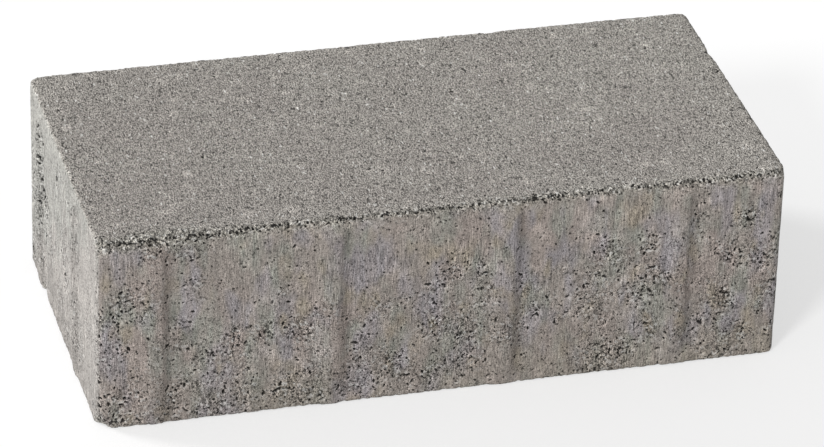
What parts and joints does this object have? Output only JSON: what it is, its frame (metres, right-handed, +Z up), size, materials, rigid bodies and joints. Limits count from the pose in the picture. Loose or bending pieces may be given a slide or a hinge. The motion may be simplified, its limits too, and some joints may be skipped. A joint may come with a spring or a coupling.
{
  "type": "concrete paving stone",
  "caption": "Rectangular concrete paving stone, a plain cast block with a fine sandy wearing face and low upright spacer ribs on its sides.",
  "frame": {"origin": "middle of the bed face, on which the stone lies", "axes": "+X along the stone's length, +Y across its width, +Z up through the wearing face"},
  "size_m": [0.2, 0.1, 0.06],
  "materials": {
    "concrete": "matte"
  },
  "bodies": {
    "root": {"paving_stone": "concrete"}
  },
  "joints": []
}
